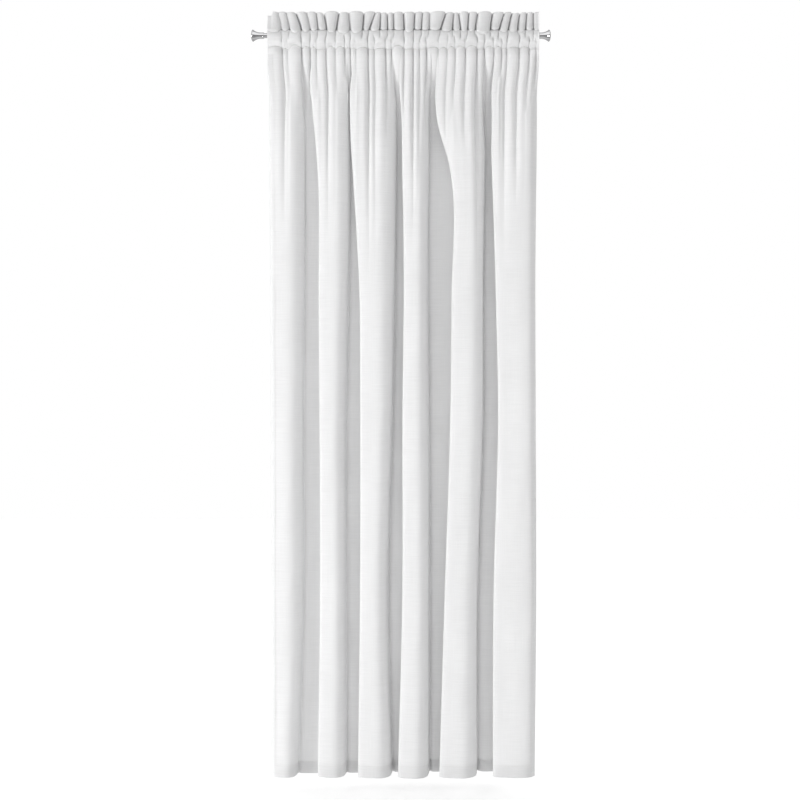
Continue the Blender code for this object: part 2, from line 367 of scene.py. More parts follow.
def finish_principled(tree, sockets):
    finish_material(tree, add_node(tree, "ShaderNodeBsdfPrincipled", {}, sockets)["BSDF"])


def toned(tint, share):
    """A colour made darker, or lighter by a share above 1."""
    return [min(1.0, value * share) for value in tint[:3]] + [1.0]


def object_place(tree):
    return add_node(tree, "ShaderNodeTexCoord", {}, {})["Object"]


def stretched(tree, place, factors):
    sockets = {0: place, 1: factors}
    return add_node(tree, "ShaderNodeVectorMath", {"operation": "MULTIPLY"}, sockets)["Vector"]


def noise(tree, place, scale, detail):
    sockets = {"Vector": place, "Scale": scale, "Detail": detail}
    return add_node(tree, "ShaderNodeTexNoise", {}, sockets)["Fac"]


def relief_normal(tree, strength, distance, height):
    """Relief in the surface: a height of 1 stands for that distance in metres."""
    sockets = {"Strength": strength, "Distance": distance, "Height": height}
    return add_node(tree, "ShaderNodeBump", {}, sockets)["Normal"]


def cut_cloth_place(tree, across, down):
    """Place on the cut cloth in metres, stretched by a factor each way."""
    place = add_node(tree, "ShaderNodeUVMap", {"uv_map": "cut"}, {})["UV"]
    return stretched(tree, place, (across, down, 1.0))


def streaks(tree, across, down, detail):
    """Noise drawn out along the threads: across and down are the marks per metre each way."""
    place = cut_cloth_place(tree, across, down)
    sockets = {"Vector": place, "Scale": 1.0, "Detail": detail, "Roughness": 0.6}
    return add_node(tree, "ShaderNodeTexNoise", {"noise_dimensions": "2D"}, sockets)["Fac"]


def cloth_material(name, tint, pitch):
    """White plain weave with slubs: uneven threads both ways show in tone and in relief."""
    made, tree = new_material(name)
    weft = streaks(tree, 14, 420, 3.0)
    warp = streaks(tree, 520, 9, 2.0)
    slubs = ((weft - 0.6) * 5.0).limited()
    cloudy = streaks(tree, 9, 7, 2.0)
    tone = (0.5 + (weft - 0.5) * 0.9 + (warp - 0.5) * 0.55 + (cloudy - 0.5) * 0.35).limited()
    shade = mixed(tree, tone, toned(tint, 0.93), toned(tint, 1.04))

    turns = 2 * pi / pitch
    grid = add_node(tree, "ShaderNodeSeparateXYZ", {}, {0: cut_cloth_place(tree, turns, turns)})
    weave = grid["X"].sine() * grid["Y"].sine()
    relief = weave * 0.25 + weft * 1.2 + warp * 0.7 + slubs * 0.8
    sockets = {
        "Base Color": shade,
        "Roughness": 0.92,
        "Specular IOR Level": 0.12,
        "Sheen Weight": 0.15,
        "Sheen Roughness": 0.6,
        "Normal": relief_normal(tree, 0.35, 0.0006, relief),
    }
    front = add_node(tree, "ShaderNodeBsdfPrincipled", {}, sockets)["BSDF"]
    through = add_node(tree, "ShaderNodeBsdfTranslucent", {}, {"Color": shade})["BSDF"]
    mixer = {0: SHEERNESS, 1: front, 2: through}
    finish_material(tree, add_node(tree, "ShaderNodeMixShader", {}, mixer)["Shader"])
    return made


def thread_material(tint):
    made, tree = new_material("sewing_thread")
    grain = noise(tree, object_place(tree), 2500.0, 2.0)
    shade = mixed(tree, grain, toned(tint, 0.9), list(tint))
    normal = relief_normal(tree, 0.5, 0.0002, grain)
    sockets = {"Base Color": shade, "Roughness": 0.6, "Sheen Weight": 0.3, "Normal": normal}
    finish_principled(tree, sockets)
    return made


def satin_material():
    """Blank satin tape: fine floats along the tape."""
    made, tree = new_material("satin_tape")
    floats = noise(tree, stretched(tree, object_place(tree), (3000.0, 3000.0, 300.0)), 1.0, 1.0)
    shade = mixed(tree, floats, (0.86, 0.86, 0.84, 1), (0.94, 0.94, 0.93, 1))
    normal = relief_normal(tree, 0.3, 0.0002, floats)
    sockets = {"Base Color": shade, "Roughness": 0.38, "Sheen Weight": 0.2, "Normal": normal}
    finish_principled(tree, sockets)
    return made


def chrome_material(tint):
    """Polished plating: faint smears in the gloss and the finest turning marks."""
    made, tree = new_material("polished_chrome")
    place = object_place(tree)
    smear = noise(tree, place, 60.0, 4.0)
    turning_marks = noise(tree, stretched(tree, place, (6000.0, 20.0, 20.0)), 1.0, 1.0)
    sockets = {
        "Base Color": mixed(tree, smear, toned(tint, 0.94), list(tint)),
        "Metallic": 1.0,
        "Roughness": 0.05 + smear * 0.10,
        "Normal": relief_normal(tree, 0.04, 0.0001, turning_marks),
    }
    finish_principled(tree, sockets)
    return made


def steel_material():
    made, tree = new_material("zinc_steel")
    grain = noise(tree, object_place(tree), 900.0, 3.0)
    sockets = {
        "Base Color": mixed(tree, grain, (0.30, 0.30, 0.32, 1), (0.48, 0.48, 0.50, 1)),
        "Metallic": 1.0,
        "Roughness": 0.28 + grain * 0.2,
        "Normal": relief_normal(tree, 0.2, 0.0001, grain),
    }
    finish_principled(tree, sockets)
    return made


# --- meshes ---


def smoothstep(value):
    value = np.clip(value, 0.0, 1.0)
    return value * value * (3 - 2 * value)


def add_piece(name, points, faces, look, cut_places=None):
    """An object from points and faces, smooth shaded, with its places on the cut cloth as a UV map."""
    data = bpy.data.meshes.new(name)
    data.from_pydata([tuple(point) for point in points], [], faces)
    if cut_places is not None:
        layer = data.uv_layers.new(name="cut")
        corners = np.empty(len(data.loops), dtype=np.int32)
        data.loops.foreach_get("vertex_index", corners)
        layer.data.foreach_set("uv", np.asarray(cut_places)[corners].ravel())
    data.materials.append(look)
    data.shade_smooth()
    made = bpy.data.objects.new(name, data)
    bpy.context.scene.collection.objects.link(made)
    return made


def add_sheet(name, grid, cut_places, look, ply):
    """A ply of cloth from a grid of points (rows, columns, 3), given its thickness to both sides."""
    rows, columns = grid.shape[:2]
    corner = np.arange(rows * columns).reshape(rows, columns)
    faces = np.stack([corner[:-1, :-1], corner[:-1, 1:], corner[1:, 1:], corner[1:, :-1]], axis=-1)
    faces = faces.reshape(-1, 4).tolist()
    made = add_piece(name, grid.reshape(-1, 3), faces, look, cut_places.reshape(-1, 2))
    solidify = made.modifiers.new("ply", "SOLIDIFY")
    solidify.thickness = ply
    solidify.offset = 0
    return made


# --- the course of the cloth ---


def rounded(points, rounds=4):
    """Cuts the corners of an open line of points, again and again."""
    for _ in range(rounds):
        near = points[:-1] * 0.75 + points[1:] * 0.25
        far = points[:-1] * 0.25 + points[1:] * 0.75
        points = np.vstack([points[:1], np.stack([near, far], axis=1).reshape(-1, 2), points[-1:]])
    return points


def measured(points):
    """How far along a line of points in plan each one is."""
    return np.concatenate([[0], np.cumsum(np.hypot(*np.diff(points, axis=0).T))])


def at_depth(below, values):
    """A value given at the fold heights, read off a smooth curve through them."""
    heights = np.array(FOLD_HEIGHTS)
    values = np.array(values)
    slopes = np.gradient(values, heights)
    number = int(np.clip(np.searchsorted(heights, below) - 1, 0, len(heights) - 2))
    span = heights[number + 1] - heights[number]
    t = min(max((below - heights[number]) / span, 0.0), 1.0)
    start, end = values[number], values[number + 1]
    ease = t * t * (3 - 2 * t)
    tangents = (t**3 - 2 * t**2 + t) * slopes[number] + (t**3 - t**2) * slopes[number + 1]
    return start + (end - start) * ease + span * tangents


def fold_corners(below, depth):
    """Corners of the folded drop in plan."""
    lefts = [at_depth(below, fold.left) for fold in FOLDS]
    creases = [at_depth(below, fold.crease) for fold in FOLDS]
    last = len(FOLDS) - 1
    corners = []
    for number, (fold, left, crease) in enumerate(zip(FOLDS, lefts, creases)):
        front, back = -fold.front * depth, fold.back * depth
        wide = crease - left
        edge = FIRST_EDGE if number == 0 else EDGE
        outline = LAST_FRONT if number == last else FRONT
        corners += [(left + along, front * part) for along, part in edge]
        corners += [(left + along * wide, front * part) for along, part in outline]
        if number == last:
            corners += [(crease, front * 0.40)]
            break
        corners += [(crease - 0.003, front * 0.08), (crease, back * 1.45)]
        following = lefts[number + 1]
        behind = max(following + TUCK, crease + RECESS_LEAST)
        corners += [(crease + 0.009, back * 0.80), (behind, back * 0.90), (behind - 0.003, back * 0.30)]
    return np.array(corners)


def overhang(away, reach):
    """How much a puff hangs over a seam, at a share of the cloth away from it."""
    return away / reach * np.exp(1 - away / reach)


class Puffs:
    """The soft bulges that a row of gathers draws the cloth into."""

    def __init__(self, gathers):
        gathers = np.array(gathers)
        self.places = gathers[:, 0] + LEFT
        self.depths, self.reaches, self.leans = gathers[:, 1], gathers[:, 2], gathers[:, 3]

    def at(self, x, bluntness, lean=0.0, fading=1.0):
        """Three things at places along the header: how far the cloth stands forward, as a share of a
        full puff; how far it bulges sideways over the creases; and a whim from 0 to 1, to make the puffs
        differ. lean is how much of the creases' lean counts, and fading what is left of their depth."""
        places = np.concatenate([[LEFT - 0.001], self.places + lean * self.leans, [RIGHT + 0.001]])
        valleys = np.concatenate([[1.0], 1 - np.clip(self.depths * fading, 0, 1), [1.0]])
        widths = np.diff(places)
        crests = np.clip(0.55 + widths / 0.09, 0, 1.15)
        number = np.clip(np.searchsorted(places, x) - 1, 0, len(places) - 2)
        across = np.clip((x - places[number]) / widths[number], 0, 1) ** PUFF_SKEW
        valley = valleys[number] * (1 - across) + valleys[number + 1] * across
        dome = (4 * across * (1 - across)) ** bluntness
        bulge = -PUFF_BULGE * (1 - valley) * np.sin(2 * pi * across) * widths[number]
        whim = 0.5 + 0.5 * np.sin(number * 2.4 + number**2 * 0.7)
        near, far = across * widths[number], (1 - across) * widths[number]
        ends = smoothstep(near / 0.012) * smoothstep(far / 0.012)
        return valley + np.maximum(crests[number] - valley, 0) * dome, bulge, whim * ends


class Course:
    """Where the hung cloth runs.

    A place on the drop is its share of the cut width. A place on the header is its X.
    """

    def __init__(self, cloth):
        self.cloth = cloth
        self.low = Puffs(DROP_GATHERS)
        self.high = Puffs(FRILL_GATHERS)
        self.set_header()

    def set_header(self):
        """Works out where along the header each share of the cut width is gathered in: straight above
        its place in the folds, apart from the cloth that they tuck away."""
        line = rounded(fold_corners(0.0, self.cloth.fold_depth))
        along = measured(line)
        self.shares = along / along[-1]
        forward = np.maximum.accumulate(line[:, 0])
        forward = (forward - forward[0]) / (forward[-1] - forward[0])
        self.seam_places = LEFT + HEADER_WIDTH * (0.95 * forward + 0.05 * self.shares)

    def header_x(self, shares):
        return np.interp(shares, self.shares, self.seam_places)

    def columns(self, count):
        """Shares of the cut width for a mesh's columns, spaced for the header and the drop alike."""
        fine = np.linspace(0, 1, 4001)
        spread = 0.5 * fine + 0.5 * (self.header_x(fine) - LEFT) / HEADER_WIDTH
        return np.interp(np.linspace(0, 1, count + 1), spread, fine)

    def seam_y(self, x, puffs):
        """Front to back place of a seam, which the gathers pucker evenly about the middle."""
        return SEAM_SHARE * self.cloth.gather_depth * (PUFF_MIDDLE - puffs.at(x, SEAM_BLUNTNESS)[0])

    def seam_sag(self, x, puffs, most):
        """How far a seam sags between gathers, by up to that much. It rises if that is negative."""
        forward, _, whim = puffs.at(x, SEAM_BLUNTNESS)
        return most * forward**2 * (0.1 + 0.9 * whim)

    def drop(self, shares, height, layer=0.0):
        """Places on the drop at a height. layer moves them off the cloth, to the back if positive."""
        cloth = self.cloth
        below = POCKET_SEAM - height
        line = rounded(fold_corners(max(below, 0.0), cloth.fold_depth))
        along = measured(line)
        folded_x = np.interp(shares, along / along[-1], line[:, 0])
        folded_y = np.interp(shares, along / along[-1], line[:, 1])
        top_x = self.header_x(shares)
        led = smoothstep(below / LEAD_LENGTH)
        formed = smoothstep(below / cloth.fold_reach) ** 0.8
        x = (1 - led) * top_x + led * folded_x
        y = formed * folded_y

        fading = np.clip(1 - (max(below, 0) / (REACH_SHARE * self.low.reaches)) ** 2, 0, 1)
        forward, bulge, _ = self.low.at(top_x, 0.74 + 0.4 * smoothstep(below / 0.2), fading=fading)
        swell = SEAM_SHARE + (1 - SEAM_SHARE) * smoothstep(below / SWELL_LENGTH)
        swell *= 1 - smoothstep((below - FLATTEN_START) / FLATTEN_LENGTH)
        off = swell * cloth.gather_depth * (PUFF_MIDDLE - forward) + layer
        aside = bulge * (1 - smoothstep(below / 0.15))

        slope = np.gradient(np.stack([x, y], axis=1), axis=0)
        slope /= np.maximum(np.hypot(slope[:, 0], slope[:, 1]), 1e-9)[:, None]
        x = x - slope[:, 1] * off + slope[:, 0] * aside
        y = y + slope[:, 0] * off + slope[:, 1] * aside + self.ripple(shares, below)
        sag = self.seam_sag(top_x, self.low, -RISE) * np.exp(-max(below, 0) / 0.015)
        return np.stack([x, y, height - sag], axis=1)

    def ripple(self, shares, below):
        """The slight unevenness of hanging cloth."""
        across = shares * self.cloth.cut_width
        slow = np.sin(across * 31 + below * 2.1) * np.sin(below * 4.7 + across * 9)
        quick = np.sin(across * 83 + below * 7.0 + 1.3) * np.sin(below * 13 + across * 21)
        return (0.0014 * slow + 0.0005 * quick) * smoothstep(below / 0.3)

    def pocket(self, x, share, side):
        """Places on one ply of the pocket. share runs from 0 at the frill's seam to 1 at the lower, and
        side is -1 for the front ply, 1 for the back. The ply rounds the rod, then falls away from it.
        Its puffs pass from the frill's gathers to the drop's."""
        cloth = self.cloth
        stray = 0.0026 * np.sin(x * 97 + share * 5) * np.sin(x * 41 + 1.7) * sin(pi * share)
        high = np.array(self.high.at(x + stray, SEAM_BLUNTNESS))
        low = np.array(self.low.at(x + stray, SEAM_BLUNTNESS))
        passed = smoothstep((share + 0.10 * np.sin(x * 53) - 0.22) / 0.45)
        forward, bulge, whim = high + (low - high) * passed
        height = SEAM + (POCKET_SEAM - SEAM) * share
        if height > 0:
            off_rod = np.sqrt(1 - (height / SEAM) ** 2)
        else:
            off_rod = 1 - 0.72 * (height / POCKET_SEAM) ** 1.6
        held = smoothstep(share / 0.12) * smoothstep((1 - share) / 0.30)
        at_seam = (1 - share) * self.seam_y(x, self.high) + share * self.seam_y(x, self.low)
        at_seam = at_seam + side * cloth.layer_gap
        fullness = (0.35 + 0.65 * smoothstep(share / 0.5)) * (1 - 0.45 * smoothstep((share - 0.6) / 0.4))
        puff = cloth.pocket_puff * forward * fullness
        loose = side * ((NECK_RADIUS + cloth.ply + cloth.layer_gap) * off_rod + puff)
        y = at_seam * (1 - held) + loose * held
        sag = self.seam_sag(x, self.high, SAG) * np.exp(-share * 6)
        sag = sag + self.seam_sag(x, self.low, -RISE) * np.exp(-(1 - share) * 5)
        sag = sag + 0.0045 * forward**2 * (whim - 0.4) * overhang(1 - share, 0.12)
        return np.stack([x + bulge * held, y, height - sag], axis=1)

    def frill_top(self, x):
        top = FRILL_TOP - 0.0012 * (1 + np.sin(x * 61 + 0.7) * np.sin(x * 23))
        for place, depth in NOTCHES:
            top = top - depth * np.exp(-np.abs(x - LEFT - place) / NOTCH_WIDTH)
        corner = 1 - smoothstep((x - LEFT - CORNER_LENGTH) / 0.006)
        return top - CORNER_DROP * corner

    def frill(self, x, share, side):
        """Places on one ply of the frill. share runs from 0 at the seam to 1 at the folded top. The
        front ply's puffs hang over the seam."""
        cloth = self.cloth
        forward, bulge, whim = self.high.at(x, 0.85, lean=share)
        swell = SEAM_SHARE + (1.3 - SEAM_SHARE) * (1 - np.exp(-share / 0.06))
        airy = side * (cloth.layer_gap + 0.0012 * sin(pi * min(share, 1.0)))
        sag = 0
        if side < 0:
            airy = airy - 0.0130 * smoothstep(forward) * (0.8 + 0.2 * whim) * overhang(share, 0.10)
            sag = (0.0120 + 0.0085 * whim) * forward**1.5 * overhang(share, 0.09)
        y = swell * cloth.gather_depth * (PUFF_MIDDLE - forward) + airy
        bottom = SEAM - self.seam_sag(x, self.high, SAG)
        top = self.frill_top(x) - 0.0022 * (1 - forward)
        return np.stack([x + bulge, y, bottom + (top - bottom) * share - sag], axis=1)


def moved_with(piece, body):
    """The piece hangs on a body of the frame, with a mesh of its own."""
    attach(piece, body)
    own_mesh(piece)


def settings():
    return bpy.context.scene.curtain_cloth


def cloth_look():
    found = bpy.data.materials.get("white_weave")
    return found or cloth_material("white_weave", settings().tint, settings().thread_pitch)


def cut_places(shares, downs):
    """Places on the cut cloth in metres, for a grid of rows and columns."""
    width = settings().cut_width
    across, down = np.meshgrid(shares * width, downs)
    return np.stack([across, down], axis=-1)


# --- pieces of cloth ---


def drop_heights():
    """Heights of the drop's rows: close together under the pocket and at the hem's stitching."""
    near = np.arange(0, 0.060, 0.003)
    middle = np.arange(0.060, 0.400, 0.0065)
    length_below = POCKET_SEAM - HEM
    hem_line = length_below - HEM_DEPTH
    low = np.linspace(0.400, hem_line - 0.012, 104)
    stitched = hem_line + np.array([-0.007, -0.003, 0.0, 0.003, 0.007])
    end = np.linspace(hem_line + 0.012, length_below, 5)
    return POCKET_SEAM - np.concatenate([near, middle, low, stitched, end])


class CURTAIN_OT_drop(bpy.types.Operator):
    """Builds the folded drop, with its bottom hem turned up behind it"""

    bl_idname = "curtain.drop"
    bl_label = "Drop and bottom hem"

    def execute(self, context):
        cloth = settings()
        course = Course(cloth)
        shares = course.columns(cloth.columns)
        heights = drop_heights()
        behind = cloth.ply + cloth.layer_gap
        turn_up = [(HEM - 0.0004, 0.4 * behind), (HEM, behind)]
        turn_up += [(HEM + HEM_DEPTH * part, behind) for part in (0.15, 0.4, 0.7, 1.0)]
        rows = [course.drop(shares, height) for height in heights]
        rows += [course.drop(shares, height, layer) for height, layer in turn_up]
        up_again = [POCKET_SEAM - 2 * HEM + height for height, _ in turn_up]
        downs = np.concatenate([POCKET_SEAM - heights, up_again])
        made = add_sheet("drop", np.array(rows), cut_places(shares, downs), cloth_look(), cloth.ply)
        moved_with(made, "panel")
        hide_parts("drop_cloth", "bottom_hem")
        return {"FINISHED"}


def turning(name, course, shares, heights, layer, edge_first):
    """A ply turned to the back of the drop, with its folded edge along the drop's own edge."""
    cloth = course.cloth
    layers = np.full(len(shares), layer)
    if edge_first is not None:
        layers[edge_first] = 0.35 * layer
    rows = [course.drop(shares, height, layers) for height in heights]
    places = cut_places(shares, POCKET_SEAM - heights)
    return add_sheet(name, np.array(rows), places, cloth_look(), cloth.ply)


class CURTAIN_OT_turnings(bpy.types.Operator):
    """Builds the side hems and the edge that is turned down behind the pocket"""

    bl_idname = "curtain.turnings"
    bl_label = "Side hems and heading allowance"

    def execute(self, context):
        cloth = settings()
        course = Course(cloth)
        share = cloth.side_hem / cloth.cut_width
        across = np.linspace(0, share, 9)
        heights = drop_heights()
        heights = heights[(heights < ALLOWANCE_BOX[0].z - 0.001) & (heights > HEM + HEM_DEPTH + 0.001)]
        behind = cloth.ply + cloth.layer_gap
        sides = (
            ("side_hem_left", "panel", across, 0),
            ("side_hem_right", "leading_edge", 1 - across[::-1], -1),
        )
        for node, body, shares, edge in sides:
            made = turning(f"{node}_cloth", course, shares, heights, behind, edge)
            moved_with(made, body)
            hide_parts(node)

        shares = course.columns(cloth.columns)
        shares = shares[(shares > share) & (shares < 1 - share)]
        rows = np.linspace(POCKET_SEAM - 0.0005, ALLOWANCE_BOX[0].z, 8)
        made = turning("heading_allowance_cloth", course, shares, rows, behind, None)
        moved_with(made, "panel")
        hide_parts("heading_allowance")
        return {"FINISHED"}


class CURTAIN_OT_header(bpy.types.Operator):
    """Builds the standing frill and the two plies of the rod pocket"""

    bl_idname = "curtain.header"
    bl_label = "Frill and rod pocket"

    def execute(self, context):
        cloth = settings()
        course = Course(cloth)
        x = np.linspace(LEFT, RIGHT, HEADER_COLUMNS + 1)
        cut_shares = (x - LEFT) / HEADER_WIDTH

        ups = np.linspace(0, 1, 18)
        front = [course.frill(x, share, -1) for share in ups]
        back = [course.frill(x, share, 1) for share in ups[::-1]]
        over = (front[-1] + back[0]) / 2
        over[:, 2] += 0.0007
        downs = np.concatenate([ups, [1.02], 2.04 - ups[::-1]]) * (FRILL_TOP - SEAM)
        rows = np.array(front + [over] + back)
        frill = add_sheet("frill", rows, cut_places(cut_shares, downs), cloth_look(), cloth.ply)
        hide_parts("frill_front", "frill_back")

        made = [frill]
        for node, side in (("pocket_front", -1), ("pocket_back", 1)):
            downs = np.linspace(0, 1, 29)
            rows = np.array([course.pocket(x, share, side) for share in downs])
            places = cut_places(cut_shares, downs * (SEAM - POCKET_SEAM))
            ply = add_sheet(f"{node}_cloth", rows, places, cloth_look(), cloth.ply)
            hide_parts(node)
            made.append(ply)
        for piece in made:
            moved_with(piece, "panel")
        return {"FINISHED"}


# --- stitching and label ---

# The label's distance from the left edge, its width and its thickness
LABEL_START, LABEL_WIDTH, LABEL_PLY = 0.001, 0.022, 0.0003

THREAD_SIDES = 6


def stitched_line(name, line, look):
    """Stitches laid end to end along a line of points, each one a short rounded thread."""
    sewing = bpy.context.scene.curtain_stitches
    line = np.asarray(line)
    along = np.concatenate([[0], np.cumsum(np.linalg.norm(np.diff(line, axis=0), axis=1))])
    step = sewing.stitch + sewing.gap
    starts = np.arange(step / 2, along[-1] - step, step)
    shares = np.array([0.0, 0.16, 0.5, 0.84, 1.0])
    swell = np.array([0.35, 0.9, 1.0, 0.9, 0.35]) * sewing.radius
    turns = np.arange(THREAD_SIDES) * 2 * pi / THREAD_SIDES
    points, faces = [], []
    for start in starts:
        at = start + shares * sewing.stitch
        middle = np.stack([np.interp(at, along, line[:, axis]) for axis in range(3)], axis=1)
        heading = middle[-1] - middle[0]
        heading /= np.linalg.norm(heading)
        side = np.cross(heading, (0.0, 1.0, 0.0))
        side /= max(np.linalg.norm(side), 1e-9)
        other = np.cross(heading, side)
        first = len(points)
        for place, radius in zip(middle, swell):
            points += [place + radius * (cos(turn) * side + sin(turn) * other) for turn in turns]
        for ring in range(len(shares) - 1):
            low = first + THREAD_SIDES * ring
            high = low + THREAD_SIDES
            for i in range(THREAD_SIDES):
                following = (i + 1) % THREAD_SIDES
                faces.append((low + i, low + following, high + following, high + i))
        faces.append([first + i for i in reversed(range(THREAD_SIDES))])
        faces.append([len(points) - THREAD_SIDES + i for i in range(THREAD_SIDES)])
    return add_piece(name, points, faces, look)


class CURTAIN_OT_stitches(bpy.types.Operator):
    """Sews the five lines of stitching, one short thread for each stitch"""

    bl_idname = "curtain.stitches"
    bl_label = "Stitching"

    def execute(self, context):
        cloth = settings()
        sewing = context.scene.curtain_stitches
        course = Course(cloth)
        look = thread_material(sewing.tint)
        lift = cloth.ply / 2 + 0.5 * sewing.radius
        shares = course.columns(cloth.columns)
        edge = 0.88 * cloth.side_hem / cloth.cut_width
        x = np.linspace(LEFT + 0.002, RIGHT - 0.002, HEADER_COLUMNS)
        frill_line = course.pocket(x, 0.03, -1)
        frill_line[:, 1] -= lift
        across = shares[(shares > edge) & (shares < 1 - edge)]
        heights = drop_heights()
        heights = heights[(heights < ALLOWANCE_BOX[0].z) & (heights > HEM + 0.002)]
        hem_line = HEM + HEM_DEPTH - 0.003
        lines = {
            "frill_seam_thread": frill_line,
            "pocket_seam_thread": course.drop(shares, POCKET_SEAM - 0.002, -lift),
            "bottom_hem_thread": course.drop(across, hem_line, -lift),
            "side_thread_left": [course.drop(np.array([0, edge, 1]), z, -lift)[1] for z in heights],
            "side_thread_right": [course.drop(np.array([0, 1 - edge, 1]), z, -lift)[1] for z in heights],
        }
        for node, line in lines.items():
            made = stitched_line(f"{node}_stitches", line, look)
            moved_with(made, "leading_edge" if node == "side_thread_right" else "panel")
            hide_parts(node)
        return {"FINISHED"}


class CURTAIN_OT_label(bpy.types.Operator):
    """Sews the blank care label behind the left side hem"""

    bl_idname = "curtain.label"
    bl_label = "Care label"

    def execute(self, context):
        cloth = settings()
        course = Course(cloth)
        low, high = LABEL_BOX[0].z, LABEL_BOX[1].z
        across = np.linspace(LABEL_START, LABEL_START + LABEL_WIDTH, 9) / cloth.cut_width
        rows = []
        for height in np.linspace(high, low, 16):
            fallen = (high - height) / (high - low)
            curl = 0.0040 * fallen**2 * np.linspace(0.4, 1, len(across))
            rows.append(course.drop(across, height, 2.4 * cloth.ply + 2 * cloth.layer_gap + curl))
        downs = np.linspace(0, high - low, 16)
        places = cut_places(across, downs)
        made = add_sheet("care_label_tape", np.array(rows), places, satin_material(), LABEL_PLY)
        moved_with(made, "panel")
        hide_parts("care_label")
        return {"FINISHED"}


# --- rod and finials ---

# Wall of the rod, and how far its end's edges are eased
ROD_WALL, ROD_EASE = 0.001, 0.0003

# A finial's rolled rim, the height of its dome, the radius of the flat on it, and the play between
# its sleeve and the rod
RIM_BEAD, DOME_HEIGHT, DOME_FLAT, SLEEVE_PLAY = 0.0009, 0.005, 0.005, 0.0003


def turned(name, profile, sides, look):
    """A turned piece along X: a closed profile of (along, radius) spun round the rod's axis."""
    points, faces = [], []
    count = len(profile)
    for turn in range(sides):
        angle = 2 * pi * turn / sides
        points += [(along, radius * cos(angle), radius * sin(angle)) for along, radius in profile]
    for turn in range(sides):
        here, there = turn * count, (turn + 1) % sides * count
        for i in range(count):
            following = (i + 1) % count
            faces.append((here + i, here + following, there + following, there + i))
    made = add_piece(name, points, faces, look)
    bm = bmesh.new()
    bm.from_mesh(made.data)
    bmesh.ops.remove_doubles(bm, verts=bm.verts, dist=1e-6)
    bmesh.ops.recalc_face_normals(bm, faces=bm.faces)
    bm.to_mesh(made.data)
    bm.free()
    made.data.set_sharp_from_angle(angle=radians(35))
    return made


class CURTAIN_OT_rod(bpy.types.Operator):
    """Turns the rod: a thin tube with eased ends"""

    bl_idname = "curtain.rod"
    bl_label = "Rod"

    def execute(self, context):
        metal = context.scene.curtain_metal
        half = ROD_BOX[1].x
        ease = ROD_EASE
        inner = ROD_RADIUS - ROD_WALL
        end = [(half - ease, ROD_RADIUS), (half, ROD_RADIUS - ease)]
        end += [(half, inner + ease), (half - ease, inner)]
        lengths = np.linspace(half - ease, -half + ease, 41)[1:-1]
        outer = [(float(along), ROD_RADIUS) for along in lengths[::-1]]
        bore = [(float(along), inner) for along in lengths]
        other = [(-along, radius) for along, radius in reversed(end)]
        made = turned("rod", outer + end + bore + other, metal.rounds, chrome_look())
        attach(made, "rod")
        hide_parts("rod_tube")
        return {"FINISHED"}


def chrome_look():
    found = bpy.data.materials.get("polished_chrome")
    return found or chrome_material(bpy.context.scene.curtain_metal.tint)


def finial_profile(inner, rim, end, neck_radius, rim_radius):
    """Half section of a finial for the right end: dome, rolled rim, flare, neck and blind sleeve."""
    bead = RIM_BEAD
    sleeve = ROD_BOX[1].x - inner + SLEEVE_PLAY
    bore = ROD_RADIUS + SLEEVE_PLAY
    flat = DOME_FLAT
    profile = [(end, 0.0), (end, flat)]
    turns = np.linspace(0, pi / 2, 14)[1:]
    dome = [(rim + (end - rim) * cos(t), flat + (rim_radius - bead - flat) * sin(t)) for t in turns]
    profile += [(float(along), float(radius)) for along, radius in dome]
    for t in np.linspace(0.15, pi, 8):
        profile.append((rim - bead * 0.8 + bead * 0.8 * cos(t), rim_radius - bead + bead * sin(t)))
    flare_end = rim - bead * 1.6
    neck_end = inner + sleeve / 2
    for share in np.linspace(1, 0, 26):
        swell = neck_radius + (rim_radius - bead - neck_radius) * share**2.3
        profile.append((neck_end + (flare_end - neck_end) * share, swell))
    profile += [(inner + 0.0026, neck_radius), (inner + 0.0020, neck_radius - 0.0003)]
    profile += [(inner + 0.0014, neck_radius), (inner + 0.0004, neck_radius)]
    profile += [(inner, neck_radius - 0.0004), (inner, bore)]
    profile += [(inner + sleeve, bore), (inner + sleeve, 0.0)]
    return profile


class CURTAIN_OT_finials(bpy.types.Operator):
    """Turns the two trumpet finials and dresses the grub screws that hold them"""

    bl_idname = "curtain.finials"
    bl_label = "Finials"

    def execute(self, context):
        metal = context.scene.curtain_metal
        steel = steel_material()
        for side, sign in (("left", -1), ("right", 1)):
            low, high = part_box(f"finial_{side}")
            near, far = sorted((abs(low.x), abs(high.x)))
            profile = finial_profile(near, far - DOME_HEIGHT, far, NECK_RADIUS, (high.z - low.z) / 2)
            profile = [(sign * along, radius) for along, radius in profile]
            made = turned(f"trumpet_{side}", profile, metal.rounds, chrome_look())
            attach(made, f"{side}_finial")
            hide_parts(f"finial_{side}")
            screw = frame["nodes"][f"grub_screw_{side}"]
            screw.data.materials.clear()
            screw.data.materials.append(steel)
        return {"FINISHED"}


# --- stage ---

VIEW_MIDDLE = (-0.003, -1.195)  # place of the camera along X and up
KEY_SIZE = 1.4
KEY_PLACE = Vector((-6.5, -3.4, -2.0))
KEY_TARGET = Vector((0, 0, -2.0))

# How bright the studio that the metal sees is, from straight down (0) to straight up (1)
STUDIO_FRONT = (
    (0.0, 0.75),
    (0.15, 0.6),
    (0.20, 0.40),
    (0.56, 0.28),
    (0.60, 1.5),
    (0.95, 1.4),
    (1.0, 0.7),
)
STUDIO_BACK = ((0.0, 0.9), (0.2, 0.65), (0.5, 0.50), (1.0, 0.65))

# How much brighter the even light is behind the curtain than in front
BEHIND = 1.4

FLOOR_REACH = 9.0


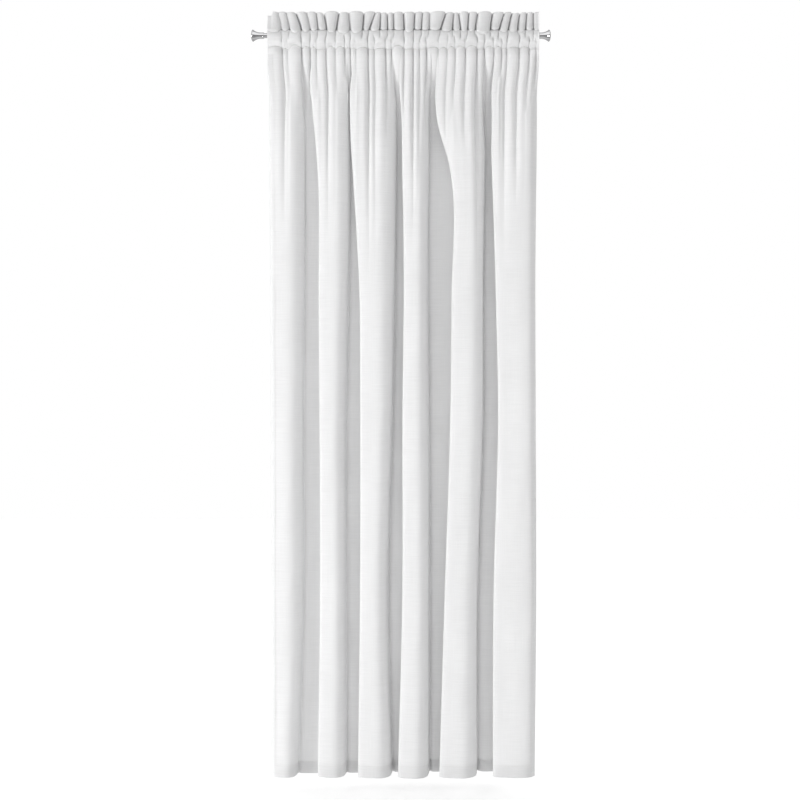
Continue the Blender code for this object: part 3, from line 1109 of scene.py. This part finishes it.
class CURTAIN_OT_stage(bpy.types.Operator):
    """Sets the floor, the light and the camera"""

    bl_idname = "curtain.stage"
    bl_label = "Floor, light and camera"

    def execute(self, context):
        scene = context.scene
        stage = scene.curtain_stage
        scene.view_settings.view_transform = "Standard"
        add_sky(scene, stage.sky)
        add_floor(HEM - stage.floor_gap)

        light = bpy.data.lights.new("key", "AREA")
        light.shape = "RECTANGLE"
        light.size, light.size_y = KEY_SIZE, KEY_SIZE
        light.spread = radians(150)
        light.energy = stage.key
        key = bpy.data.objects.new("key", light)
        key.location = KEY_PLACE
        key.rotation_euler = (KEY_TARGET - key.location).to_track_quat("-Z", "Y").to_euler()
        scene.collection.objects.link(key)

        lens = bpy.data.cameras.new("camera")
        lens.sensor_width = 36.0
        lens.lens = lens.sensor_width * stage.distance / stage.view_height
        camera = bpy.data.objects.new("camera", lens)
        camera.location = (VIEW_MIDDLE[0], -stage.distance, VIEW_MIDDLE[1])
        camera.rotation_euler = (radians(90), 0, 0)
        scene.collection.objects.link(camera)
        scene.camera = camera
        return {"FINISHED"}


def add_sky(scene, strength):
    """Even white light for the cloth. Polished metal sees a studio in it: white above the eye in front,
    a dark gap below that, and grey behind the curtain. The camera sees a plain white backdrop."""
    world = bpy.data.worlds.new("studio")
    scene.world = world
    world.use_nodes = True
    tree = world.node_tree
    tree.nodes.clear()
    heading = add_node(tree, "ShaderNodeTexCoord", {}, {})["Generated"]
    parts = add_node(tree, "ShaderNodeSeparateXYZ", {}, {0: heading})
    height = parts["Z"] * 0.5 + 0.5
    rooms = []
    for stops in (STUDIO_FRONT, STUDIO_BACK):
        ramp = [(place, (light, light, light, 1)) for place, light in stops]
        rooms.append(add_node(tree, "ShaderNodeValToRGB", {"ramp": ramp}, {0: height}))
    behind = (parts["Y"] * 4.0 + 0.5).limited()
    studio = mixed(tree, behind, rooms[0]["Color"], rooms[1]["Color"])
    even = mixed(tree, behind, (1.0, 1.0, 1.0, 1), (BEHIND, BEHIND, BEHIND, 1))
    path = add_node(tree, "ShaderNodeLightPath", {}, {})
    shade = mixed(tree, path["Is Glossy Ray"], even, studio)
    lit, backdrop = (
        add_node(tree, "ShaderNodeBackground", {}, {"Color": tone, "Strength": power})["Background"]
        for tone, power in ((shade, strength), ((1, 1, 1, 1), 1.0))
    )
    mixer = {0: path["Is Camera Ray"], 1: lit, 2: backdrop}
    surface = add_node(tree, "ShaderNodeMixShader", {}, mixer)["Shader"]
    add_node(tree, "ShaderNodeOutputWorld", {}, {"Surface": surface})


def add_floor(height):
    """A pale floor, brought up to the white of the backdrop so that no horizon shows."""
    made, tree = new_material("pale_floor")
    sockets = {"Base Color": (0.9, 0.9, 0.9, 1), "Roughness": 0.7, "Emission Color": (1, 1, 1, 1)}
    sockets["Emission Strength"] = 0.25
    finish_principled(tree, sockets)
    reach = FLOOR_REACH
    corners = [(x * reach, y * reach, height) for x, y in ((-1, -1), (1, -1), (1, 1), (-1, 1))]
    floor = add_piece("floor", corners, [(0, 1, 2, 3)], made)
    floor.visible_glossy = False


# --- panel and start ---


class CURTAIN_PT_panel(bpy.types.Panel):
    """Settings and build steps of the curtain"""

    bl_idname = "CURTAIN_PT_panel"
    bl_label = "Rod-pocket curtain"
    bl_space_type = "VIEW_3D"
    bl_region_type = "UI"
    bl_category = "Curtain"

    def draw(self, context):
        for name, group in SETTINGS:
            box = self.layout.box()
            for field in group.__annotations__:
                box.prop(getattr(context.scene, name), field)
        for step in STEPS:
            self.layout.operator(step.bl_idname)


SETTINGS = (
    ("curtain_cloth", ClothSettings),
    ("curtain_stitches", StitchSettings),
    ("curtain_metal", MetalSettings),
    ("curtain_stage", StageSettings),
)
STEPS = (
    CURTAIN_OT_drop,
    CURTAIN_OT_turnings,
    CURTAIN_OT_header,
    CURTAIN_OT_stitches,
    CURTAIN_OT_label,
    CURTAIN_OT_rod,
    CURTAIN_OT_finials,
    CURTAIN_OT_stage,
)


def register():
    for name, group in SETTINGS:
        bpy.utils.register_class(group)
        setattr(bpy.types.Scene, name, PointerProperty(type=group))
    for step in STEPS:
        bpy.utils.register_class(step)
    bpy.utils.register_class(CURTAIN_PT_panel)


def unregister():
    bpy.utils.unregister_class(CURTAIN_PT_panel)
    for step in reversed(STEPS):
        bpy.utils.unregister_class(step)
    for name, group in reversed(SETTINGS):
        delattr(bpy.types.Scene, name)
        bpy.utils.unregister_class(group)


def main():
    register()
    bpy.ops.curtain.drop()
    bpy.ops.curtain.turnings()
    bpy.ops.curtain.header()
    bpy.ops.curtain.stitches()
    bpy.ops.curtain.label()
    bpy.ops.curtain.rod()
    bpy.ops.curtain.finials()
    bpy.ops.curtain.stage()


if __name__ == "__main__":
    main()
